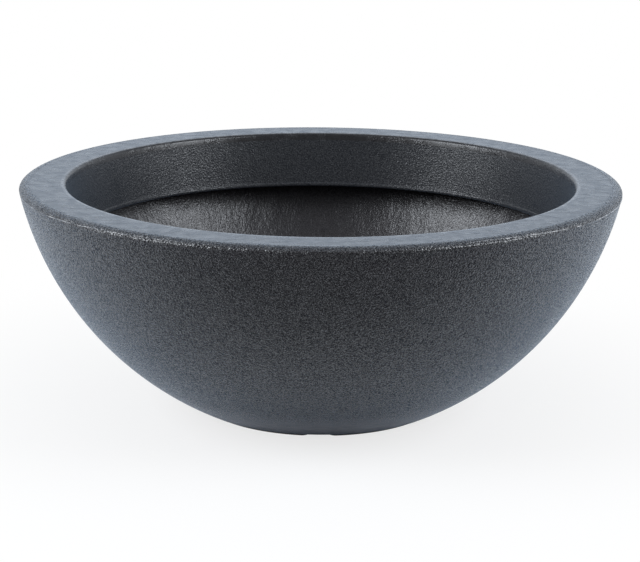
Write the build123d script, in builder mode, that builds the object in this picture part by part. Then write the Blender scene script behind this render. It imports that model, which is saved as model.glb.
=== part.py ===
from build123d import *
import math
import os

# A low bowl planter, moulded in one piece with an even wall: outer wall, flat rim,
# turned-in skirt and base. Four soft plugs close the drain holes and lift out from
# inside, and four curved pads stand under the base ring.
# Millimetres, +Z up, origin on the ground under the centre of the base, front at -Y.

# Overall size
RIM_RADIUS = 330.0
HEIGHT = 254.0
WALL = 5.0

# Rim: a flat land that rolls over and turns down into the outer wall
ROLL_RADIUS = 14.0
ROLL_TURN = 40.0
EDGE_RADIUS = 3.0
MOUTH_RADIUS = 279.8
MOUTH_ROUNDING = 4.5

# Outer wall: one arc from the rim's edge to the base ring, leaning out at the rim
WALL_LEAN = 12.3

# Skirt: the inner lip that hangs from the rim and draws in towards its cut edge
SKIRT_DEPTH = 63.8
SKIRT_END_RADIUS = 268.5
CUT_EDGE_ROUNDING = 1.6
POCKET_ROUNDING = 3.0

# Base: a flat ring, with a raised middle that keeps the plugs clear of the ground
RING_RADIUS = 138.7
RING_ROUNDING = 15.0
MIDDLE_RADIUS = 98.0
MIDDLE_RISE = 4.0
STEP_WIDTH = 8.0
STEP_ROUNDING = 8.0

# Drain holes, through the raised middle
DRAIN_CIRCLE_RADIUS = 70.0
DRAIN_RADIUS = 10.0
DRAIN_CHAMFER = 0.6

# Drain plugs: a hollow ribbed barrel, a domed flange and a pull tab
PLUG_CLEARANCE = 0.05
BARREL_LENGTH = 8.4
BARREL_CORE_RADIUS = 9.2
BARREL_BORE_RADIUS = 6.4
BARREL_CROWN = 1.6
BARREL_LEAD = 1.2
RIB_COUNT = 3
RIB_PITCH = 2.2
RIB_WIDTH = 1.1
FLANGE_RADIUS = 18.0
FLANGE_EDGE = 1.4
FLANGE_HEIGHT = 3.4
TAB_WIDTH = 15.0
TAB_THICKNESS = 3.2
TAB_HEIGHT = 14.0
TAB_HOLE_RADIUS = 3.2
TAB_ROUNDING = 0.8

# Foot pads: curved strips with round ends and two grooves underneath
PAD_HEIGHT = 3.0
PAD_RADIUS = 125.0
PAD_WIDTH = 16.0
PAD_GAP = 20.0
PAD_ROUNDING = 0.8
GROOVE_SPACING = 6.0
GROOVE_WIDTH = 1.6
GROOVE_DEPTH = 0.8

# Where each plug and each pad stands, as an angle about the planter's axis
QUARTERS = {"front_right": -45.0, "back_right": 45.0, "back_left": 135.0, "front_left": 225.0}

# Levels and sizes that follow from these
ring_z = PAD_HEIGHT
middle_z = ring_z + MIDDLE_RISE
floor_z = middle_z + WALL
roll_reach = ROLL_RADIUS * math.sin(math.radians(ROLL_TURN))
edge_reach = EDGE_RADIUS * (1 - math.sin(math.radians(ROLL_TURN)))
land_radius = RIM_RADIUS - edge_reach - roll_reach
plug_radius = DRAIN_RADIUS - PLUG_CLEARANCE


def save(builder, name):
    """Names a finished piece and writes it to its own file."""
    builder.part.label = name
    export_step(builder.part, f"parts/{name}.step")


def round_corner(sketch, radius, z, rounding):
    """Rounds the profile's corner that lies nearest to a radius and a height."""
    fillet(sketch.vertices().sort_by_distance((radius, z))[0], rounding)


def make_shell():
    """The moulding: a skin drawn from the base to the skirt, thickened inwards, with drain holes."""
    skirt_end = (SKIRT_END_RADIUS, HEIGHT - SKIRT_DEPTH)
    with BuildPart() as shell:
        with BuildSketch(Plane.XZ) as profile:
            with BuildLine():
                with BuildLine(mode=Mode.PRIVATE) as skin:
                    base = FilletPolyline(
                        (0, middle_z),
                        (MIDDLE_RADIUS, middle_z),
                        (MIDDLE_RADIUS + STEP_WIDTH, ring_z),
                        (RING_RADIUS, ring_z),
                        radius=STEP_ROUNDING,
                    )
                    Line(skirt_end, (MOUTH_RADIUS, HEIGHT))
                    land = Line((MOUTH_RADIUS, HEIGHT), (land_radius, HEIGHT))
                    roll = JernArc(land @ 1, (1, 0), ROLL_RADIUS, -ROLL_TURN)
                    edge = JernArc(roll @ 1, roll % 1, EDGE_RADIUS, ROLL_TURN - 90 - WALL_LEAN)
                    TangentArc(edge @ 1, base @ 1, tangent=edge % 1)
                offset(skin.line, amount=WALL, side=Side.LEFT)
            make_face()
            round_corner(profile, RING_RADIUS, ring_z, RING_ROUNDING)
            round_corner(profile, RING_RADIUS, ring_z + WALL, RING_ROUNDING - WALL)
            round_corner(profile, MOUTH_RADIUS, HEIGHT, MOUTH_ROUNDING)
            round_corner(profile, MOUTH_RADIUS + WALL, HEIGHT - WALL, POCKET_ROUNDING)
            round_corner(profile, RIM_RADIUS - WALL, HEIGHT - WALL, POCKET_ROUNDING)
            round_corner(profile, *skirt_end, CUT_EDGE_ROUNDING)
            round_corner(profile, SKIRT_END_RADIUS + WALL, HEIGHT - SKIRT_DEPTH, CUT_EDGE_ROUNDING)
        revolve(axis=Axis.Z)
        with BuildSketch(Plane.XY.offset(ring_z)):
            with PolarLocations(DRAIN_CIRCLE_RADIUS, len(QUARTERS), start_angle=QUARTERS["back_right"]):
                Circle(DRAIN_RADIUS)
        extrude(amount=HEIGHT - ring_z, mode=Mode.SUBTRACT)
        drain_walls = shell.faces().filter_by(GeomType.CYLINDER)
        chamfer(drain_walls.edges().filter_by(GeomType.CIRCLE), DRAIN_CHAMFER)
    return shell


def make_plug(angle):
    """A soft bung: ribbed hollow barrel, domed flange resting on the floor, upright pull tab."""
    outward = Vector(1, 0, 0).rotate(Axis.Z, angle)
    seat = outward * DRAIN_CIRCLE_RADIUS + Vector(0, 0, floor_z)
    standing = Plane(origin=seat, x_dir=outward, z_dir=outward.cross(Vector(0, 0, 1)))
    rib_levels = [-(BARREL_LEAD + RIB_WIDTH / 2 + RIB_PITCH * i) for i in range(RIB_COUNT)]
    with BuildPart() as plug:
        with BuildSketch(standing):
            with BuildLine():
                Polyline(
                    (0, -BARREL_CROWN),
                    (BARREL_BORE_RADIUS, -BARREL_CROWN),
                    (BARREL_BORE_RADIUS, -BARREL_LENGTH),
                    (BARREL_CORE_RADIUS - BARREL_LEAD / 2, -BARREL_LENGTH),
                    (BARREL_CORE_RADIUS, BARREL_LEAD - BARREL_LENGTH),
                    (BARREL_CORE_RADIUS, 0),
                    (FLANGE_RADIUS, 0),
                    (FLANGE_RADIUS, FLANGE_EDGE),
                )
                TangentArc((0, FLANGE_HEIGHT), (FLANGE_RADIUS, FLANGE_EDGE), tangent=(1, 0))
                Line((0, FLANGE_HEIGHT), (0, -BARREL_CROWN))
            make_face()
            with Locations(*[(BARREL_BORE_RADIUS, level) for level in rib_levels]):
                Rectangle(plug_radius - BARREL_BORE_RADIUS, RIB_WIDTH, align=(Align.MIN, Align.CENTER))
        revolve(axis=Axis(seat, (0, 0, 1)))
        with BuildSketch(standing):
            with Locations((0, TAB_HEIGHT - TAB_WIDTH / 2)):
                Circle(TAB_WIDTH / 2)
                Rectangle(TAB_WIDTH, TAB_HEIGHT - TAB_WIDTH / 2, align=(Align.CENTER, Align.MAX))
                Circle(TAB_HOLE_RADIUS, mode=Mode.SUBTRACT)
        extrude(amount=TAB_THICKNESS / 2, both=True)
        tab_sides = plug.faces().filter_by(standing)
        outline = tab_sides.edges().filter_by(lambda e: e.center().Z > floor_z + FLANGE_HEIGHT)
        fillet(outline, TAB_ROUNDING)
    return plug


def make_pad(angle):
    """A curved strip with round ends, rounded underneath, with two shallow grooves."""
    end_reach = (PAD_GAP + PAD_WIDTH) / 2
    end_turn = math.degrees(math.asin(end_reach / PAD_RADIUS))
    sweep = 90 - 2 * end_turn
    start = angle - sweep / 2
    with BuildPart() as pad:
        with BuildSketch():
            SlotArc(CenterArc((0, 0), PAD_RADIUS, start, sweep), PAD_WIDTH)
        extrude(amount=PAD_HEIGHT)
        fillet(pad.faces().sort_by(Axis.Z)[0].edges(), PAD_ROUNDING)
        with BuildSketch():
            for radius in (PAD_RADIUS - GROOVE_SPACING / 2, PAD_RADIUS + GROOVE_SPACING / 2):
                SlotArc(CenterArc((0, 0), radius, start, sweep), GROOVE_WIDTH)
        extrude(amount=GROOVE_DEPTH, mode=Mode.SUBTRACT)
    return pad


os.makedirs("parts", exist_ok=True)
save(make_shell(), "planter_shell")
for quarter, angle in QUARTERS.items():
    save(make_plug(angle), f"drain_plug_{quarter}")
    save(make_pad(angle), f"foot_pad_{quarter}")
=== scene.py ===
import math

import bpy
import numpy as np
from mathutils import Matrix, Vector, geometry, noise


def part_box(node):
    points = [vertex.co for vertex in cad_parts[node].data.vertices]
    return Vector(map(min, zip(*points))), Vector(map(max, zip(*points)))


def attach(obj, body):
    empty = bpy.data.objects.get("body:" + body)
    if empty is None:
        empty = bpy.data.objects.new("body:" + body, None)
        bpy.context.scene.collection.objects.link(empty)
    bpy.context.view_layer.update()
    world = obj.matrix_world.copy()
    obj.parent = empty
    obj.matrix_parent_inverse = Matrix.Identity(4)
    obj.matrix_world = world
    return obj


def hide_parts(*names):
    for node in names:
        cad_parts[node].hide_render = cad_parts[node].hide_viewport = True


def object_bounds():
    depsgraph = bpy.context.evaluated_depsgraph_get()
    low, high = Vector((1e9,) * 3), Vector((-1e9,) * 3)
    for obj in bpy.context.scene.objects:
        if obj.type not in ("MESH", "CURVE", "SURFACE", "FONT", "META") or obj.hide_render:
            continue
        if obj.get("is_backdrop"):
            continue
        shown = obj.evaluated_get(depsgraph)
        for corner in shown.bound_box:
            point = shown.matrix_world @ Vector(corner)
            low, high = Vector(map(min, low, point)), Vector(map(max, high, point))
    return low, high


# The bowl planter's looks: a finely meshed shell with its surface marks, the plugs and
# the pads, their materials, the floor, the light and the camera. Metres throughout.

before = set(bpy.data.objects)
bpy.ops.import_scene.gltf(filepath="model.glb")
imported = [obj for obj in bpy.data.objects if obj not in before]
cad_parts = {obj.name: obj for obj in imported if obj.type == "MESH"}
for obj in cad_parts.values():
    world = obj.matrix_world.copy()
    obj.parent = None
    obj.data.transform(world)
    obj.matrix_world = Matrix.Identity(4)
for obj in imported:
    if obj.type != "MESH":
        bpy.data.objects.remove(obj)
cad_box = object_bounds()
shell_low, shell_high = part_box("planter_shell")

# Sizes of the moulding
MM = 0.001
RIM_RADIUS = 330 * MM
HEIGHT = shell_high.z
WALL = 5 * MM
ROLL_RADIUS = 14 * MM
ROLL_TURN = math.radians(40)
EDGE_RADIUS = 3 * MM
WALL_LEAN = math.radians(12.3)
MOUTH_RADIUS = 279.8 * MM
MOUTH_ROUNDING = 4.5 * MM
SKIRT_DEPTH = 63.8 * MM
SKIRT_END_RADIUS = 268.5 * MM
CUT_EDGE_ROUNDING = 1.6 * MM
POCKET_ROUNDING = 3 * MM
MOUTH_FINISH_DEPTH = 8 * MM
LIP_HEIGHT = 3.4 * MM
LIP_SLOPE = 1 * MM
LIP_PROUD = 0.9 * MM
LIP_ROUNDING = 0.5 * MM
RING_Z = shell_low.z
RING_RADIUS = 138.7 * MM
RING_ROUNDING = 15 * MM
MIDDLE_RADIUS = 98 * MM
MIDDLE_RISE = 4 * MM
STEP_WIDTH = 8 * MM
STEP_ROUNDING = 8 * MM
DRAIN_CIRCLE_RADIUS = 70 * MM
DRAIN_RADIUS = 10 * MM
DRAIN_CHAMFER = 0.6 * MM
QUARTERS = {"front_right": -45, "back_right": 45, "back_left": 135, "front_left": 225}

MIDDLE_Z = RING_Z + MIDDLE_RISE
FLOOR_Z = MIDDLE_Z + WALL

# Mesh: steps round the axis, the spacing of the fine points that a path is made of, the
# distance under which two points are one, and the radius of the flat discs with the holes
TURNS = 400
FINE = 0.2 * MM
SAME = FINE / 100
DISC_RADIUS = 94 * MM
TURN_ANGLES = np.arange(TURNS) * math.tau / TURNS
TURN_AZIMUTHS = (np.degrees(TURN_ANGLES) + 180) % 360 - 180


# Paths in the plane of radius and height. A path has the material on its left.

def line(start, end):
    """Fine points from one point to another."""
    count = math.ceil(math.dist(start, end) / FINE) + 2
    return np.linspace(start, end, count)


def arc(centre, radius, start, end):
    """Fine points of an arc between two directions from its centre."""
    count = math.ceil(abs(end - start) * radius / FINE) + 4
    angles = np.linspace(start, end, count)
    return np.column_stack((centre[0] + radius * np.cos(angles), centre[1] + radius * np.sin(angles)))


def rounded(corners, roundings):
    """Fine points of straight runs whose inner corners are rounded."""
    corners = [np.array(corner, float) for corner in corners]
    pieces = []
    start = corners[0]
    for before, corner, after, rounding in zip(corners, corners[1:], corners[2:], roundings):
        heading_in = math.atan2(*(corner - before)[::-1])
        heading_out = math.atan2(*(after - corner)[::-1])
        turn = (heading_out - heading_in + math.pi) % math.tau - math.pi
        side = heading_in + math.copysign(math.pi / 2, turn)
        cut = rounding * math.tan(abs(turn) / 2)
        tangent = corner - cut * np.array((math.cos(heading_in), math.sin(heading_in)))
        centre = tangent + rounding * np.array((math.cos(side), math.sin(side)))
        pieces.append(line(start, tangent))
        pieces.append(arc(centre, rounding, side + math.pi, side + math.pi + turn))
        start = pieces[-1][-1]
    pieces.append(line(start, corners[-1]))
    return join(*pieces)


def join(*paths):
    """One path from several that meet end to start, without the doubled points."""
    points = np.vstack(paths)
    apart = np.hypot(*np.diff(points, axis=0).T) > SAME
    return points[np.append(True, apart)]


def direction(point, centre):
    """The direction of a point as seen from a centre."""
    return math.atan2(point[1] - centre[1], point[0] - centre[0])


# The rim's edge, the wall's arc and the ring's rounding, worked out as in the solid
land_radius = RIM_RADIUS - EDGE_RADIUS * (1 - math.sin(ROLL_TURN)) - ROLL_RADIUS * math.sin(ROLL_TURN)
roll_centre = (land_radius, HEIGHT - ROLL_RADIUS)
edge_centre = (
    RIM_RADIUS - EDGE_RADIUS,
    roll_centre[1] + (ROLL_RADIUS - EDGE_RADIUS) * math.cos(ROLL_TURN),
)
wall_top = np.array(edge_centre) + EDGE_RADIUS * np.array((math.cos(WALL_LEAN), -math.sin(WALL_LEAN)))
wall_side = np.array((math.cos(WALL_LEAN), -math.sin(WALL_LEAN)))
wall_chord = np.array((RING_RADIUS, RING_Z)) - wall_top
wall_radius = -wall_chord @ wall_chord / (2 * wall_chord @ wall_side)
wall_centre = wall_top - wall_radius * wall_side
ring_height = RING_Z + RING_ROUNDING
ring_centre = (
    wall_centre[0] + math.sqrt((wall_radius - RING_ROUNDING) ** 2 - (ring_height - wall_centre[1]) ** 2),
    ring_height,
)
ring_side = direction(ring_centre, wall_centre)
miter = WALL * math.tan(math.atan2(MIDDLE_RISE, STEP_WIDTH) / 2)

# The skirt: its face towards the axis, and its back one wall thickness behind
mouth = np.array((MOUTH_RADIUS, HEIGHT))
skirt_end = np.array((SKIRT_END_RADIUS, HEIGHT - SKIRT_DEPTH))
skirt_rise = mouth - skirt_end
skirt_back = WALL * np.array((skirt_rise[1], -skirt_rise[0])) / math.hypot(*skirt_rise)
skirt_back_top = skirt_end + skirt_back + skirt_rise * (SKIRT_DEPTH - WALL - skirt_back[1]) / SKIRT_DEPTH

# The pocket's outer corner, between the underside of the land and the inner wall
pocket_rounding = ROLL_RADIUS - WALL
pocket_height = HEIGHT - WALL - pocket_rounding
pocket_reach = wall_radius - WALL - pocket_rounding
pocket_centre = (
    wall_centre[0] + math.sqrt(pocket_reach ** 2 - (pocket_height - wall_centre[1]) ** 2),
    pocket_height,
)

# The wall's arc is divided by depth below the top of the rim, or by height
MARKS_DEPTH = 28 * MM
EDGE_DEPTH = 11 * MM
RIPPLES_TOP = 206 * MM
RIPPLES_END = 78 * MM


def wall_side_at(height, radius):
    """The direction from the wall's centre of the point of its arc at a height."""
    return math.asin((height - wall_centre[1]) / radius)


inner_radius = wall_radius - WALL
marks_side = wall_side_at(HEIGHT - MARKS_DEPTH, wall_radius)
edge_side = wall_side_at(HEIGHT - EDGE_DEPTH, wall_radius)
ripples_side = wall_side_at(RIPPLES_TOP, inner_radius)
lower_side = wall_side_at(RIPPLES_END, inner_radius)

base_path = join(
    rounded(
        [
            (DISC_RADIUS, MIDDLE_Z),
            (MIDDLE_RADIUS, MIDDLE_Z),
            (MIDDLE_RADIUS + STEP_WIDTH, RING_Z),
            (ring_centre[0], RING_Z),
        ],
        (STEP_ROUNDING, STEP_ROUNDING),
    ),
    arc(ring_centre, RING_ROUNDING, -math.pi / 2, ring_side),
)
edge_path = join(
    arc(wall_centre, wall_radius, edge_side, -WALL_LEAN),
    arc(edge_centre, EDGE_RADIUS, -WALL_LEAN, math.pi / 2 - ROLL_TURN),
    arc(roll_centre, ROLL_RADIUS, math.pi / 2 - ROLL_TURN, math.pi / 2),
)
mouth_low = mouth - skirt_rise * MOUTH_FINISH_DEPTH / SKIRT_DEPTH
mouth_path = rounded([(land_radius, HEIGHT), mouth, mouth_low], (MOUTH_ROUNDING,))

# A low lip stands proud of the skirt's face along its cut edge
lip = -skirt_back / WALL * LIP_PROUD
skirt_path = rounded(
    [
        mouth_low,
        skirt_end + skirt_rise * (LIP_HEIGHT + LIP_SLOPE) / SKIRT_DEPTH,
        skirt_end + skirt_rise * LIP_HEIGHT / SKIRT_DEPTH + lip,
        skirt_end + lip,
        skirt_end + skirt_back,
        (skirt_end + skirt_back_top + skirt_back) / 2,
    ],
    (LIP_ROUNDING, LIP_ROUNDING, CUT_EDGE_ROUNDING, CUT_EDGE_ROUNDING),
)
pocket_path = join(
    rounded([skirt_path[-1], skirt_back_top, (pocket_centre[0], HEIGHT - WALL)], (POCKET_ROUNDING,)),
    arc(pocket_centre, pocket_rounding, math.pi / 2, direction(pocket_centre, wall_centre)),
    arc(wall_centre, inner_radius, direction(pocket_centre, wall_centre), ripples_side),
)
floor_path = join(
    arc(ring_centre, RING_ROUNDING - WALL, ring_side, -math.pi / 2),
    rounded(
        [
            (ring_centre[0], RING_Z + WALL),
            (MIDDLE_RADIUS + STEP_WIDTH + miter, RING_Z + WALL),
            (MIDDLE_RADIUS + miter, FLOOR_Z),
            (DISC_RADIUS, FLOOR_Z),
        ],
        (STEP_ROUNDING - WALL, STEP_ROUNDING + WALL),
    ),
)

# Each stretch of the section: its path, the widest spacing of its rows, and its finish
STRETCHES = {
    "base": (base_path, 7 * MM, "outside"),
    "wall": (arc(wall_centre, wall_radius, ring_side, marks_side), 10 * MM, "outside"),
    "marks": (arc(wall_centre, wall_radius, marks_side, edge_side), 1 * MM, "outside"),
    "edge": (edge_path, 1 * MM, "outside"),
    "mouth": (mouth_path, 7 * MM, "rim"),
    "skirt": (skirt_path, 7 * MM, "skirt"),
    "pocket": (pocket_path, 14 * MM, "inside"),
    "ripples": (arc(wall_centre, inner_radius, ripples_side, lower_side), 3.8 * MM, "inside"),
    "lower": (arc(wall_centre, inner_radius, lower_side, ring_side), 6 * MM, "inside"),
    "floor": (floor_path, 7 * MM, "inside"),
}
ROW_BEND = math.radians(15)
BEND_SPREAD = 7

# The parting line of the mould wanders just below the rim's edge. By azimuth in degrees:
# its depth below the top in mm, and how strongly it stands out.
PARTING = {
    -180: (5.0, 0.6),
    -159: (5.0, 0.9),
    -146: (4.5, 1.0),
    -132: (2.9, 0.9),
    -122: (2.3, 1.2),
    -110: (1.9, 0.3),
    -100: (1.8, 0.0),
    -80: (1.6, 0.0),
    -58: (1.6, 0.7),
    -47: (3.3, 1.8),
    -34: (5.9, 0.7),
    -23: (6.2, 1.6),
    -13: (7.6, 1.9),
    0: (7.4, 1.3),
    40: (4.0, 0.6),
    90: (2.6, 0.3),
    140: (3.4, 0.5),
    180: (5.0, 0.6),
}
PARTING_OFFSETS = np.array([-1.3, -0.9, -0.6, -0.35, -0.1, 0.15, 0.4, 0.7, 1.0, 1.4]) * MM
EDGE_ROWS_BELOW = 13
EDGE_ROWS_ABOVE = 10


def path_length(path):
    """The length along a path up to each of its points."""
    return np.append(0, np.cumsum(np.hypot(*np.diff(path, axis=0).T)))


def spaced_rows(path, spacing):
    """Lengths along a path at which rows stand: closer together in and beside its bends."""
    length = path_length(path)
    heading = np.unwrap(np.arctan2(*np.diff(path, axis=0).T[::-1]))
    bend = np.abs(np.append(0, np.append(np.diff(heading), 0)))
    bend = np.convolve(bend, np.ones(BEND_SPREAD) / BEND_SPREAD, "same")
    effort = length / spacing + np.cumsum(bend) / ROW_BEND
    return np.interp(np.linspace(0, effort[-1], math.ceil(effort[-1]) + 1), effort, length)


def parting_rows(path):
    """Lengths along the edge's path, one column for each azimuth, that follow the parting line."""
    length = path_length(path)
    depths = np.interp(TURN_AZIMUTHS, list(PARTING), [depth for depth, _ in PARTING.values()]) * MM
    middle = np.interp(depths, (HEIGHT - path[:, 1])[::-1], length[::-1])
    below = np.linspace(0, 1, EDGE_ROWS_BELOW, endpoint=False)[:, None] * (middle + PARTING_OFFSETS[0])
    near = middle + PARTING_OFFSETS[:, None]
    above = np.linspace(1, 0, EDGE_ROWS_ABOVE, endpoint=False)[::-1, None]
    above = length[-1] - (1 - above) * (length[-1] - near[-1])
    return np.vstack((below, near, above)), middle


# Each use of the noise reads it at a place of its own
NOISE_PLACES = {
    "undulation": 0.0,
    "breaks": 2.0,
    "drift": 4.0,
    "ripples": 5.0,
    "dimples": 7.0,
    "patches": 9.0,
}
NOISE_SHIFT = (0.37, 1.71)


def smooth_noise(points, use):
    """Soft noise between about -1 and 1 at each of many points."""
    shift = Vector((NOISE_PLACES[use], *NOISE_SHIFT))
    flat = [noise.noise(Vector(point) + shift) for point in points.reshape(-1, 3)]
    return np.array(flat).reshape(points.shape[:-1])


def fade(values, low, high):
    """0 below low, 1 above high and a soft step between; low may be the larger."""
    t = np.clip((values - low) / (high - low), 0, 1)
    return t * t * (3 - 2 * t)


# Relief: what the surface stands proud of the plain section by. A range runs from where the
# relief is absent to where it is full: depths are below the top, azimuths in degrees.
UNDULATION = 0.16 * MM
UNDULATION_SIZE = 75 * MM
UNDULATION_DEPTHS = (24 * MM, 60 * MM)
UNDULATION_HEIGHTS = (15 * MM, 45 * MM)
RIDGE_PITCH = 3.2 * MM
RIDGE_HEIGHT = 0.17 * MM
RIDGE_LEAST = 0.2
RIDGE_STARTS = (-180, -172)
RIDGE_ENDS = (-121, -129)
RIDGE_TOP_DEPTHS = (4 * MM, 8 * MM)
RIDGE_FOOT_DEPTHS = (27 * MM, 16 * MM)
RIDGE_DRIFT = 2.5
RIDGE_DRIFT_SIZE = 45 * MM
RIDGE_MEAN = 0.7
RIDGE_SPREAD = 0.6
RIDGE_PATCH_SIZE = 18 * MM
BEAD_HEIGHT = 0.42 * MM
GROOVE_DEPTH = 0.26 * MM
MARK_WIDTH = 0.42 * MM
BEAD_PLACE = -0.8 * MARK_WIDTH
GROOVE_PLACE = 1.2 * MARK_WIDTH
BREAK_SIZE = 12 * MM
BREAK_MEAN = 0.7
BREAK_SPREAD = 1.1
BREAK_MOST = 1.3
RIPPLE_HEIGHT = 0.42 * MM
RIPPLE_WIDTH = 17 * MM
RIPPLE_LENGTH = 55 * MM
DIMPLE_HEIGHT = 0.30 * MM
DIMPLE_SIZE = 21 * MM
INNER_FOOT_HEIGHTS = (28 * MM, 50 * MM)
INNER_TOP_HEIGHTS = (RIPPLES_TOP, RIPPLES_TOP - 12 * MM)


def outer_relief(points):
    """A soft undulation of the wall, and fine ridges round it under the rim, strongest on the left."""
    height = points[..., 2]
    depth = HEIGHT - height
    waves = UNDULATION * smooth_noise(points / UNDULATION_SIZE, "undulation")
    waves = waves * fade(depth, *UNDULATION_DEPTHS) * fade(height, *UNDULATION_HEIGHTS)
    azimuth = np.degrees(np.arctan2(points[..., 1], points[..., 0]))
    on_left = fade(azimuth, *RIDGE_STARTS) * fade(azimuth, *RIDGE_ENDS)
    strength = RIDGE_LEAST + (1 - RIDGE_LEAST) * on_left
    drift = RIDGE_DRIFT * smooth_noise(points / RIDGE_DRIFT_SIZE, "drift")
    patches = RIDGE_MEAN + RIDGE_SPREAD * smooth_noise(points / RIDGE_PATCH_SIZE, "patches")
    ridges = np.sin(math.tau * depth / RIDGE_PITCH + drift) * patches
    near_rim = fade(depth, *RIDGE_TOP_DEPTHS) * fade(depth, *RIDGE_FOOT_DEPTHS)
    return waves + RIDGE_HEIGHT * strength * ridges * near_rim


def parting_relief(rows, middle, points):
    """A shallow groove with a fine bead under it, along the parting line, and how much of it is bead."""
    strength = np.interp(TURN_AZIMUTHS, list(PARTING), [strong for _, strong in PARTING.values()])
    breaks = BREAK_MEAN + BREAK_SPREAD * smooth_noise(points / BREAK_SIZE, "breaks")
    strength = strength * np.clip(breaks, 0, BREAK_MOST)
    above = rows - middle
    bead = BEAD_HEIGHT * np.exp(-(((above - BEAD_PLACE) / MARK_WIDTH) ** 2))
    groove = GROOVE_DEPTH * np.exp(-(((above - GROOVE_PLACE) / MARK_WIDTH) ** 2))
    return strength * (bead - groove), strength * bead / BEAD_HEIGHT


def inner_relief(points):
    """The hammered inside: dimples, and ripples that run up and down the wall."""
    height = points[..., 2:]
    radius = np.hypot(points[..., 0], points[..., 1])[..., None]
    around = points[..., :2] / radius * RIM_RADIUS / RIPPLE_WIDTH
    ripples = smooth_noise(np.concatenate((around, height / RIPPLE_LENGTH), -1), "ripples")
    dimples = smooth_noise(points / DIMPLE_SIZE, "dimples")
    window = fade(height[..., 0], *INNER_FOOT_HEIGHTS) * fade(height[..., 0], *INNER_TOP_HEIGHTS)
    return (RIPPLE_HEIGHT * ripples + DIMPLE_HEIGHT * dimples) * window


def shell_rows():
    """The shell's rows of points, base to floor, their share of flash, and the finish above each row."""
    all_points = []
    all_flash = []
    finishes = []
    for name, (path, spacing, finish) in STRETCHES.items():
        length = path_length(path)
        if name == "edge":
            rows, middle = parting_rows(path)
        else:
            rows = np.repeat(spaced_rows(path, spacing)[:, None], TURNS, axis=1)
        if name != "floor":
            rows = rows[:-1]
        radius = np.interp(rows, length, path[:, 0])
        height = np.interp(rows, length, path[:, 1])
        along = np.gradient(path, length, axis=0)
        along /= np.hypot(*along.T)[:, None]
        out = np.interp(rows, length, along[:, 1])
        up = -np.interp(rows, length, along[:, 0])
        cos, sin = np.cos(TURN_ANGLES), np.sin(TURN_ANGLES)
        points = np.stack((radius * cos, radius * sin, height), axis=-1)
        normals = np.stack((out * cos, out * sin, up), axis=-1)
        if name in ("wall", "marks", "edge"):
            points = points + outer_relief(points)[..., None] * normals
        flash = np.zeros(rows.shape)
        if name == "edge":
            relief, flash = parting_relief(rows, middle, points)
            points = points + relief[..., None] * normals
        if name in ("ripples", "lower"):
            points = points + inner_relief(points)[..., None] * normals
        all_points.append(points)
        all_flash.append(flash)
        finishes += [finish] * len(points)
    points = np.concatenate(all_points)
    reach = np.hypot(points[..., 0], points[..., 1])
    points[..., :2] *= np.minimum(1, RIM_RADIUS / reach)[..., None]
    return points, np.concatenate(all_flash), finishes[:-1]


# Drain holes: steps round each, its circles of points from the top down, and the spacing of
# the spare points between the holes
HOLE_STEPS = 40
HOLE_CIRCLES = [
    (DRAIN_RADIUS + DRAIN_CHAMFER, FLOOR_Z),
    (DRAIN_RADIUS, FLOOR_Z - DRAIN_CHAMFER),
    (DRAIN_RADIUS, MIDDLE_Z + DRAIN_CHAMFER),
    (DRAIN_RADIUS + DRAIN_CHAMFER, MIDDLE_Z),
]
SPARE_SPACING = 9 * MM
SHARP_ANGLE = math.radians(38)


def hole_centres():
    """The middle of each drain hole, seen from above."""
    for degrees in QUARTERS.values():
        angle = math.radians(degrees)
        yield DRAIN_CIRCLE_RADIUS * Vector((math.cos(angle), math.sin(angle)))


def hole_distance(point):
    """How far a point is from the middle of the nearest drain hole."""
    return min((point - centre).length for centre in hole_centres())


def hole_circle(centre, radius, height):
    """Points round a drain hole at one height."""
    for step in range(HOLE_STEPS):
        angle = math.tau * step / HOLE_STEPS
        yield centre.x + radius * math.cos(angle), centre.y + radius * math.sin(angle), height


def spare_points():
    """Points that spread the disc's triangles, clear of its edge and its holes."""
    steps = int(DISC_RADIUS / SPARE_SPACING)
    for i in range(-steps, steps + 1):
        for j in range(-steps, steps + 1):
            point = SPARE_SPACING * Vector((i, j))
            if point.length > DISC_RADIUS - SPARE_SPACING / 2:
                continue
            if hole_distance(point) < DRAIN_RADIUS + SPARE_SPACING / 3:
                continue
            yield point


def band_faces(first, second):
    """Faces between two circles of as many points, as indices."""
    for step in range(len(first)):
        after = (step + 1) % len(first)
        yield first[step], first[after], second[after], second[step]


def disc_faces(verts, loops, spare, faces_up):
    """Triangles between an outer loop and the holes in it, as indices, facing up or down."""
    chosen = [index for loop in loops for index in loop] + list(spare)
    flat = [Vector(verts[index][:2]) for index in chosen]
    local = {index: place for place, index in enumerate(chosen)}
    edges = [(local[a], local[b]) for loop in loops for a, b in zip(loop, loop[1:] + loop[:1])]
    _, _, triangles, source, _, _ = geometry.delaunay_2d_cdt(flat, edges, [], 1, SAME)
    for triangle in triangles:
        a, b, c = (source[corner][0] for corner in triangle)
        if hole_distance((flat[a] + flat[b] + flat[c]) / 3) < DRAIN_RADIUS:
            continue
        side = (flat[b] - flat[a]).cross(flat[c] - flat[a])
        upward = (a, b, c) if side > 0 else (a, c, b)
        yield tuple(chosen[corner] for corner in (upward if faces_up else upward[::-1]))


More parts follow.
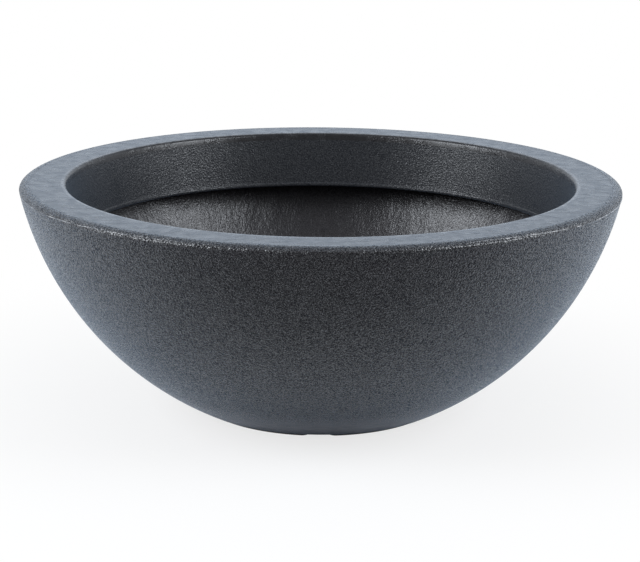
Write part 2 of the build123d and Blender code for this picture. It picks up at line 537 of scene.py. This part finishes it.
def shell_mesh():
    """The moulding as one closed mesh: revolved rows, with a holed disc at each end."""
    rows, flash, finishes = shell_rows()
    verts = [tuple(point) for point in rows.reshape(-1, 3)]
    faces = []
    circles = [list(range(row * TURNS, (row + 1) * TURNS)) for row in range(len(rows))]
    for first, second, finish in zip(circles, circles[1:], finishes):
        faces += [(face, finish) for face in band_faces(first, second)]
    holes = []
    for centre in hole_centres():
        hole = []
        for radius, height in HOLE_CIRCLES:
            hole.append(list(range(len(verts), len(verts) + HOLE_STEPS)))
            verts += hole_circle(centre, radius, height)
        for upper, lower in zip(hole, hole[1:]):
            faces += [(face, "inside") for face in band_faces(upper, lower)]
        holes.append(hole)
    for height, end, finish in ((MIDDLE_Z, 0, "outside"), (FLOOR_Z, -1, "inside")):
        loops = [circles[end]] + [hole[-1 - end] for hole in holes]
        spare = [(point.x, point.y, height) for point in spare_points()]
        verts += spare
        spare_indices = range(len(verts) - len(spare), len(verts))
        faces += [(face, finish) for face in disc_faces(verts, loops, spare_indices, height == FLOOR_Z)]
    mesh = bpy.data.meshes.new("planter_shell_finished")
    mesh.from_pydata(verts, [], [face for face, _ in faces])
    mesh.polygons.foreach_set("material_index", [FINISHES.index(finish) for _, finish in faces])
    shares = np.append(flash.ravel(), np.zeros(len(verts) - flash.size))
    # The material paints a pale line where this share is high: partly flash, partly painted highlight.
    mesh.attributes.new("flash", "FLOAT", "POINT").data.foreach_set("value", shares)
    mesh.shade_smooth()
    mesh.set_sharp_from_angle(angle=SHARP_ANGLE)
    return mesh


def make_shell():
    """The finished moulding, in place of the plain solid."""
    mesh = shell_mesh()
    shell = bpy.data.objects.new(mesh.name, mesh)
    bpy.context.scene.collection.objects.link(shell)
    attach(shell, "bowl")
    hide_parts("planter_shell")
    return shell


# Materials. A texture's coordinates are the object's own, in metres.

def new_material(name):
    """A material with an empty node tree but for its output."""
    material = bpy.data.materials.new(name)
    material.use_nodes = True
    material.node_tree.nodes.clear()
    return material, material.node_tree


def add(tree, kind, inputs, **settings):
    """A node, its settings and its inputs; an input is a value or the socket that feeds it."""
    node = tree.nodes.new("ShaderNode" + kind)
    for key, value in settings.items():
        setattr(node, key, value)
    for key, value in inputs.items():
        if isinstance(value, bpy.types.NodeSocket):
            tree.links.new(value, node.inputs[key])
        else:
            node.inputs[key].default_value = value
    return node


def noise_texture(tree, place, size, detail=2.0, roughness=0.5, distortion=0.0):
    """A noise between 0 and 1 with features of about a size in metres."""
    inputs = {"Vector": place, "Scale": 1 / size, "Detail": detail}
    inputs |= {"Roughness": roughness, "Distortion": distortion}
    return add(tree, "TexNoise", inputs, noise_dimensions="3D").outputs["Fac"]


def ramp(tree, value, low, high, start=0.0, end=1.0):
    """A value mapped softly from low..high to start..end."""
    inputs = {"Value": value, "From Min": low, "From Max": high, "To Min": start, "To Max": end}
    return add(tree, "MapRange", inputs, interpolation_type="SMOOTHSTEP").outputs["Result"]


def combined(tree, operation, values):
    """Several values put together by one operation, from the first on."""
    result = values[0]
    for value in values[1:]:
        result = add(tree, "Math", {0: result, 1: value}, operation=operation).outputs["Value"]
    return result


def product(tree, *values):
    """The product of several values."""
    return combined(tree, "MULTIPLY", values)


def total(tree, *values):
    """The sum of several values."""
    return combined(tree, "ADD", values)


def mix_colour(tree, factor, a, b):
    """One colour over another by a factor."""
    inputs = {0: factor, 6: a, 7: b}
    return add(tree, "Mix", inputs, data_type="RGBA").outputs[2]


def height_of(tree, place):
    """How high a place is above the ground."""
    return add(tree, "SeparateXYZ", {"Vector": place}).outputs["Z"]


def level_part(tree, place):
    """The part of a place's coordinates that lies level."""
    return add(tree, "VectorMath", {0: place, 1: (1, 1, 0)}, operation="MULTIPLY").outputs["Vector"]


def radius_of(tree, place):
    """How far a place is from the planter's axis."""
    return add(tree, "VectorMath", {0: level_part(tree, place)}, operation="LENGTH").outputs["Value"]


def round_places(tree, place, around, across, measure):
    """Coordinates that run round the planter: features last longer around than across."""
    circle = add(tree, "VectorMath", {0: level_part(tree, place)}, operation="NORMALIZE").outputs["Vector"]
    stretch = {0: circle, "Scale": RIM_RADIUS / around}
    turned = add(tree, "VectorMath", stretch, operation="SCALE").outputs["Vector"]
    rise = product(tree, measure(tree, place), 1 / across)
    raised = add(tree, "CombineXYZ", {"Z": rise}).outputs["Vector"]
    return add(tree, "VectorMath", {0: turned, 1: raised}, operation="ADD").outputs["Vector"]


def coarseness(tree, place, finish):
    """How coarse the surface is: less on the rim's land, in its smooth patches, and low on the wall."""
    if finish == "outside":
        return ramp(tree, height_of(tree, place), *FOOT_RANGE, FOOT_COARSENESS, 1.0)
    if finish == "rim":
        wander = product(tree, noise_texture(tree, place, WANDER_SIZE, 1.0), WANDER_REACH)
        outer = ramp(tree, total(tree, radius_of(tree, place), wander), *EDGE_RANGE)
        patches = ramp(tree, noise_texture(tree, place, PATCH_SIZE), *PATCH_RANGE, *PATCH_COARSENESS)
        return add(tree, "Math", {0: outer, 1: patches}, operation="MAXIMUM").outputs["Value"]
    return EVEN_COARSENESS[finish]


def painted_mouth_highlight(tree, place):
    """A painted highlight: a pale line along the edge of the mouth, a little broken up."""
    near = ramp(tree, radius_of(tree, place), *MOUTH_HIGHLIGHT_RADII)
    high = ramp(tree, height_of(tree, place), *MOUTH_HIGHLIGHT_HEIGHTS)
    broken = ramp(tree, noise_texture(tree, place, MOUTH_HIGHLIGHT_BREAK_SIZE, 3.0), *MOUTH_HIGHLIGHT_BREAKS)
    return product(tree, near, high, broken, MOUTH_HIGHLIGHT_STRENGTH)


def painted_floor_reflection(tree, place, streaks):
    """Painted reflection of the pale floor: a paler colour low on the wall, drawn out in faint level
    streaks.
    """
    low = ramp(tree, height_of(tree, place), *reversed(FOOT_RANGE))
    return product(tree, low, ramp(tree, streaks, *FLOOR_REFLECTION_BREAKS))


def flash_and_painted_highlight(tree, place):
    """The pale flash along the parting line, dotted: partly the flash's own paler plastic, partly a painted
    highlight on its bead; the mesh says where it runs.
    """
    share = add(tree, "Attribute", {}, attribute_name="flash").outputs["Fac"]
    dots = ramp(tree, noise_texture(tree, place, FLASH_HIGHLIGHT_DOT_SIZE), *FLASH_HIGHLIGHT_DOTS)
    return product(tree, ramp(tree, share, *FLASH_HIGHLIGHT_SHARES), dots)


def rim_waves(tree, place):
    """Fine wavy marks that run round the wall just under the rim, deepest on the left."""
    waves = noise_texture(tree, round_places(tree, place, *WAVE_SIZE), 1.0, distortion=WAVE_DISTORTION)
    high = ramp(tree, height_of(tree, place), *WAVE_RANGE)
    sideways = add(tree, "SeparateXYZ", {"Vector": place}).outputs["X"]
    return product(tree, waves, high, ramp(tree, sideways, *WAVE_SIDE), WAVE_HEIGHT)


def moulded_colour(tree, place, finish, look, cloud, streaks, coarse):
    """The plastic's colour: a clouded ground, its flecks, and the marks that lie on the finish, with
    painted light among them: a painted floor reflection low on the wall, a painted highlight along the
    mouth's edge, and a pale flash on the parting line that is partly painted highlight.
    """
    pale = ramp(tree, noise_texture(tree, place, FLECK_SIZE, 1.0), *PALE_RANGE)
    dark = ramp(tree, noise_texture(tree, place, DARK_SIZE), *DARK_RANGE)
    colour = mix_colour(tree, cloud, look["ground"], look["ground_warm"])
    if finish == "outside":
        # Low on the wall the colour is lightened: painted reflection of the floor.
        colour = mix_colour(tree, painted_floor_reflection(tree, place, streaks), colour, FLOOR_REFLECTION_COLOUR)
    colour = mix_colour(tree, product(tree, dark, coarse, look["dark"]), colour, DARK_COLOUR)
    colour = mix_colour(tree, product(tree, pale, coarse, look["pale"]), colour, FLECK_COLOUR)
    if finish == "rim":
        # Along the mouth's edge the colour is lightened: a painted highlight line.
        colour = mix_colour(tree, painted_mouth_highlight(tree, place), colour, MOUTH_HIGHLIGHT_COLOUR)
    if finish == "outside":
        # Along the parting line the colour is lightened: partly pale flash, partly painted highlight.
        colour = mix_colour(tree, flash_and_painted_highlight(tree, place), colour, FLASH_HIGHLIGHT_COLOUR)
    return colour


def moulded_height(tree, place, finish, look, streaks, coarse):
    """The height of the plastic's own texture: grain, streaks, and waves or a hammered form."""
    grain = product(tree, noise_texture(tree, place, GRAIN_SIZE, 1.0), coarse, look["grain_height"])
    height = total(tree, grain, product(tree, streaks, look["streak_height"]))
    if finish == "outside":
        height = total(tree, height, rim_waves(tree, place))
    if finish == "inside":
        hammered = noise_texture(tree, round_places(tree, place, *HAMMER_SIZE), 1.0, 3.0, 0.6)
        height = total(tree, height, product(tree, hammered, HAMMER_HEIGHT))
    return height


def moulded_plastic(name, finish, look):
    """Charcoal moulded plastic: pale and dark flecks, and a surface with its own texture."""
    material, tree = new_material(name)
    place = add(tree, "TexCoord", {}).outputs["Object"]
    coarse = coarseness(tree, place, finish)
    cloud = noise_texture(tree, place, look["cloud"], 3.0, 0.6)
    streaks = noise_texture(tree, round_places(tree, place, *look["streak"]), 1.0)
    height = moulded_height(tree, place, finish, look, streaks, coarse)
    gloss = look["gloss"]
    glint = ramp(tree, noise_texture(tree, place, GLINT_SIZE, 1.0), *GLINT_RANGE, -gloss, gloss)
    roughness = (look["roughness"] - look["roughness_spread"], look["roughness"] + look["roughness_spread"])
    inputs = {
        "Base Color": moulded_colour(tree, place, finish, look, cloud, streaks, coarse),
        "Roughness": ramp(tree, cloud, *CLOUD_RANGE, *roughness),
        "Specular IOR Level": total(tree, product(tree, glint, coarse), gloss),
        "Normal": add(tree, "Bump", {"Height": height, "Distance": 1.0, "Strength": 1.0}).outputs["Normal"],
        "IOR": PLASTIC_IOR,
        "Sheen Weight": look["sheen"],
        "Sheen Roughness": SHEEN_ROUGHNESS,
        "Sheen Tint": SHEEN_TINT,
    }
    shader = add(tree, "BsdfPrincipled", inputs).outputs["BSDF"]
    add(tree, "OutputMaterial", {"Surface": shader})
    return material


# Colours of the moulding, and the sizes of its texture
FLECK_COLOUR = (0.16, 0.158, 0.16, 1)
DARK_COLOUR = (0.008, 0.008, 0.009, 1)
# Paler colour low on the wall: painted reflection of the floor.
FLOOR_REFLECTION_COLOUR = (0.17, 0.155, 0.155, 1)
# Pale line along the mouth's edge: painted highlight.
MOUTH_HIGHLIGHT_COLOUR = (0.30, 0.29, 0.29, 1)
# Pale colour on the parting line: partly flash, partly painted highlight.
FLASH_HIGHLIGHT_COLOUR = (0.50, 0.49, 0.49, 1)
SHEEN_TINT = (0.5, 0.72, 1.0, 1.0)
SHEEN_ROUGHNESS = 0.45
PLASTIC_IOR = 1.5
FLECK_SIZE = 1.0 * MM
DARK_SIZE = 1.3 * MM
GRAIN_SIZE = 1.9 * MM
GLINT_SIZE = 1.5 * MM
PALE_RANGE = (0.47, 0.74)
DARK_RANGE = (0.50, 0.70)
GLINT_RANGE = (0.38, 0.62)
CLOUD_RANGE = (0.3, 0.7)

# Where the surface is coarse, and how much: all over, near the foot, and on the rim
EVEN_COARSENESS = {"skirt": 0.55, "inside": 0.45}
FOOT_RANGE = (12 * MM, 48 * MM)
FOOT_COARSENESS = 0.35
EDGE_RANGE = (321 * MM, 325 * MM)
WANDER_SIZE = 2.2 * MM
WANDER_REACH = 8 * MM
PATCH_SIZE = 15 * MM
PATCH_RANGE = (0.46, 0.62)
PATCH_COARSENESS = (0.12, 0.5)

# Where the marks lie. Breaks and dots map a noise to the share of the mark that is left.
# Where the painted highlight line along the mouth's edge lies.
MOUTH_HIGHLIGHT_RADII = (286.0 * MM, 283.2 * MM)
MOUTH_HIGHLIGHT_HEIGHTS = (HEIGHT - 0.8 * MM, HEIGHT - 0.3 * MM)
MOUTH_HIGHLIGHT_STRENGTH = 0.4
MOUTH_HIGHLIGHT_BREAK_SIZE = 5 * MM
MOUTH_HIGHLIGHT_BREAKS = (0.35, 0.6, 0.3, 1.0)
# Breaks of the painted floor reflection low on the wall.
FLOOR_REFLECTION_BREAKS = (0.35, 0.6, 0.55, 1.0)
# Where the pale flash lies, partly painted highlight on the parting line.
FLASH_HIGHLIGHT_DOT_SIZE = 2.2 * MM
FLASH_HIGHLIGHT_DOTS = (0.42, 0.58, 0.25, 1.0)
FLASH_HIGHLIGHT_SHARES = (0.25, 1.0)
WAVE_SIZE = (8 * MM, 2.2 * MM, height_of)
WAVE_DISTORTION = 0.6
WAVE_RANGE = (222 * MM, 240 * MM)
WAVE_SIDE = (-190 * MM, -300 * MM, 0.3, 1.0)
WAVE_HEIGHT = 1.1 * MM
HAMMER_SIZE = (4.5 * MM, 7 * MM, height_of)
HAMMER_HEIGHT = 0.6 * MM

PLAIN_LOOK = {
    "ground": (0.0105, 0.0086, 0.0090, 1),
    "ground_warm": (0.0145, 0.0122, 0.0120, 1),
    "cloud": 60 * MM,
    "pale": 0.65,
    "dark": 0.8,
    "grain_height": 1.10 * MM,
    "streak": (40 * MM, 1.4 * MM, height_of),
    "streak_height": 0.006 * MM,
    "roughness": 0.24,
    "roughness_spread": 0.03,
    "gloss": 0.55,
    "sheen": 0.20,
}
LOOKS = {
    "outside": PLAIN_LOOK,
    "rim": PLAIN_LOOK | {
        "cloud": 14 * MM,
        "pale": 0.7,
        "grain_height": 0.90 * MM,
        "streak": (60 * MM, 1.6 * MM, radius_of),
        "streak_height": 0.012 * MM,
        "roughness": 0.30,
        "roughness_spread": 0.06,
        "gloss": 0.5,
    },
    "skirt": PLAIN_LOOK | {
        # A bluish copy of the same charcoal: painted reflection of the bluish surround on the skirt.
        "ground": (0.0110, 0.0115, 0.0140, 1),
        "ground_warm": (0.0160, 0.0165, 0.0190, 1),
        "pale": 0.6,
        "grain_height": 0.75 * MM,
        "roughness": 0.34,
        "gloss": 0.45,
    },
    "inside": PLAIN_LOOK | {
        # A lighter copy of the same charcoal: painted light inside the shaded bowl.
        "ground": (0.034, 0.031, 0.034, 1),
        "ground_warm": (0.048, 0.043, 0.044, 1),
        "cloud": 14 * MM,
        "pale": 0.55,
        "grain_height": 0.70 * MM,
        "roughness": 0.30,
        "gloss": 0.44,
    },
}
FINISHES = list(LOOKS)


# Rubber of the plugs and the pads
PLUG_COLOUR = (0.012, 0.012, 0.012, 1)
PLUG_DUST = 0.25
PAD_COLOUR = (0.018, 0.018, 0.018, 1)
PAD_DUST = 0.2
DUST_COLOUR = (0.12, 0.115, 0.105, 1)
DUST_SIZE = 7 * MM
DUST_RANGE = (0.45, 0.75)
RUBBER_GRAIN_SIZE = 0.5 * MM
RUBBER_GRAIN_HEIGHT = 0.03 * MM
RUBBER_ROUGHNESS = (0.62, 0.8)
RUBBER_SHEEN = 0.1


def rubber(name, colour, dust):
    """Soft rubber: matt, finely grained, with a little pale dust in patches."""
    material, tree = new_material(name)
    place = add(tree, "TexCoord", {}).outputs["Object"]
    patches = ramp(tree, noise_texture(tree, place, DUST_SIZE, 4.0, 0.6), *DUST_RANGE)
    height = product(tree, noise_texture(tree, place, RUBBER_GRAIN_SIZE), RUBBER_GRAIN_HEIGHT)
    inputs = {
        "Base Color": mix_colour(tree, product(tree, patches, dust), colour, DUST_COLOUR),
        "Roughness": ramp(tree, patches, 0.0, 1.0, *RUBBER_ROUGHNESS),
        "Normal": add(tree, "Bump", {"Height": height, "Distance": 1.0}).outputs["Normal"],
        "Sheen Weight": RUBBER_SHEEN,
    }
    shader = add(tree, "BsdfPrincipled", inputs).outputs["BSDF"]
    add(tree, "OutputMaterial", {"Surface": shader})
    return material


def dress_nodes(prefix, material):
    """Gives the CAD nodes of a kind their material."""
    for quarter in QUARTERS:
        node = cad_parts[f"{prefix}_{quarter}"]
        node.data.materials.clear()
        node.data.materials.append(material)


shell = make_shell()
for finish, look in LOOKS.items():
    shell.data.materials.append(moulded_plastic(f"moulded_{finish}", finish, look))
dress_nodes("drain_plug", rubber("plug_rubber_look", PLUG_COLOUR, PLUG_DUST))
dress_nodes("foot_pad", rubber("pad_rubber_look", PAD_COLOUR, PAD_DUST))


# Floor: pale, with the planter's shadow. For the camera it turns plain white with distance
# from the planter, from just outside the foot on. In reflections it is darker in front.
FLOOR_SIZE = 8.0
FLOOR_COLOUR = (0.83, 0.83, 0.83, 1)
FLOOR_FRONT = (0.11, 0.11, 0.11, 1)
FRONT_PLACES = (-0.15, -0.45)
FOOT_RADII = (0.095, 0.115)
WHITE_RADII = (0.15, 0.7)
WHITE_SHARES = (0.75, 1.0)


def floor_material():
    """The floor's material, which differs for the camera and in reflections."""
    material, tree = new_material("pale_floor")
    place = add(tree, "TexCoord", {}).outputs["Object"]
    path = add(tree, "LightPath", {}).outputs
    in_front = ramp(tree, add(tree, "SeparateXYZ", {"Vector": place}).outputs["Y"], *FRONT_PLACES)
    dim = product(tree, in_front, path["Is Glossy Ray"])
    colour = mix_colour(tree, dim, FLOOR_COLOUR, FLOOR_FRONT)
    paint = add(tree, "BsdfDiffuse", {"Color": colour}).outputs["BSDF"]
    white = add(tree, "Emission", {"Color": (1, 1, 1, 1), "Strength": 1.0}).outputs["Emission"]
    radius = radius_of(tree, place)
    away = ramp(tree, radius, *WHITE_RADII, *WHITE_SHARES)
    factor = product(tree, away, ramp(tree, radius, *FOOT_RADII), path["Is Camera Ray"])
    surface = add(tree, "MixShader", {0: factor, 1: paint, 2: white}).outputs["Shader"]
    add(tree, "OutputMaterial", {"Surface": surface})
    return material


def make_floor():
    """The square of floor that the planter stands on."""
    mesh = bpy.data.meshes.new("floor")
    half = FLOOR_SIZE / 2
    corners = [(-half, -half, 0), (half, -half, 0), (half, half, 0), (-half, half, 0)]
    mesh.from_pydata(corners, [], [range(len(corners))])
    mesh.materials.append(floor_material())
    floor = bpy.data.objects.new("floor", mesh)
    bpy.context.scene.collection.objects.link(floor)
    floor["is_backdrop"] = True


# Light: a pale surround, dimmer on the side that the camera looks from, and two softboxes

LIGHT_COLOUR = (0.93, 0.98, 1.04)
HORIZON_LEVEL = 0.95
OVERHEAD_LEVEL = 0.43
OVERHEAD_RISE = (0.3, 0.75)
FRONT_SHARE = 0.30
FRONT_TURN = (0.05, 0.7)
SOFTBOX_DISTANCE = 3.0
SOFTBOX_SIZE = 1.85
SOFTBOX_TURN = 74
SOFTBOX_TILT = 35
SOFTBOX_LEVELS = {"left": 6.8, "right": 5.8}


def make_world():
    """Soft light from all round, and a plain white background for the camera."""
    world = bpy.data.worlds.new("studio")
    bpy.context.scene.world = world
    world.use_nodes = True
    tree = world.node_tree
    tree.nodes.clear()
    towards = add(tree, "TexCoord", {}).outputs["Generated"]
    front = add(tree, "VectorMath", {0: towards, 1: (0, -1, 0)}, operation="DOT_PRODUCT").outputs["Value"]
    share = ramp(tree, front, *FRONT_TURN, 1.0, FRONT_SHARE)
    rise = height_of(tree, towards)
    level = product(tree, ramp(tree, rise, *OVERHEAD_RISE, HORIZON_LEVEL, OVERHEAD_LEVEL), share)
    seen = add(tree, "LightPath", {}).outputs["Is Camera Ray"]
    light = add(tree, "Background", {"Color": (*LIGHT_COLOUR, 1), "Strength": level}).outputs["Background"]
    white = add(tree, "Background", {"Color": (1, 1, 1, 1), "Strength": 1.0}).outputs["Background"]
    surface = add(tree, "MixShader", {0: seen, 1: light, 2: white}).outputs["Shader"]
    add(tree, "OutputWorld", {"Surface": surface})


def make_softbox(side, level):
    """A large square lamp to one side and above, turned to the planter."""
    lamp = bpy.data.lights.new(f"softbox_{side}", "AREA")
    lamp.size = SOFTBOX_SIZE
    lamp.energy = level * math.pi * SOFTBOX_SIZE ** 2
    lamp.color = LIGHT_COLOUR
    turn = math.radians(SOFTBOX_TURN if side == "right" else -SOFTBOX_TURN)
    tilt = math.radians(SOFTBOX_TILT)
    towards = Vector((math.sin(turn) * math.cos(tilt), -math.cos(turn) * math.cos(tilt), math.sin(tilt)))
    box = bpy.data.objects.new(lamp.name, lamp)
    box.location = SOFTBOX_DISTANCE * towards
    box.rotation_euler = (-towards).to_track_quat("-Z", "Y").to_euler()
    box.visible_camera = False
    bpy.context.scene.collection.objects.link(box)


# Camera: the photograph's viewing angle, found from the rim's two ellipses

SENSOR_WIDTH = 36
FOCAL_PIXELS = 2090
IMAGE_WIDTH = 640
CAMERA_PLACE = Vector((0, -2.2621, 0.7166))
CAMERA_DOWN = 0.2506
CAMERA_ROLL = 0.0085


def make_camera():
    """The camera, level but for a slight roll, looking down at the planter."""
    lens = bpy.data.cameras.new("photo_camera")
    lens.sensor_width = SENSOR_WIDTH
    lens.lens = SENSOR_WIDTH * FOCAL_PIXELS / IMAGE_WIDTH
    camera = bpy.data.objects.new("photo_camera", lens)
    turn = Matrix.Rotation(math.pi / 2 - CAMERA_DOWN, 4, "X") @ Matrix.Rotation(CAMERA_ROLL, 4, "Z")
    camera.matrix_world = Matrix.Translation(CAMERA_PLACE) @ turn
    bpy.context.scene.collection.objects.link(camera)
    bpy.context.scene.camera = camera


make_floor()
make_world()
for side, level in SOFTBOX_LEVELS.items():
    make_softbox(side, level)
make_camera()
bpy.context.scene.view_settings.view_transform = "Standard"

boxes = {"cad": cad_box, "visual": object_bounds()}
{name: [list(map(float, corner)) for corner in box] for name, box in boxes.items()}
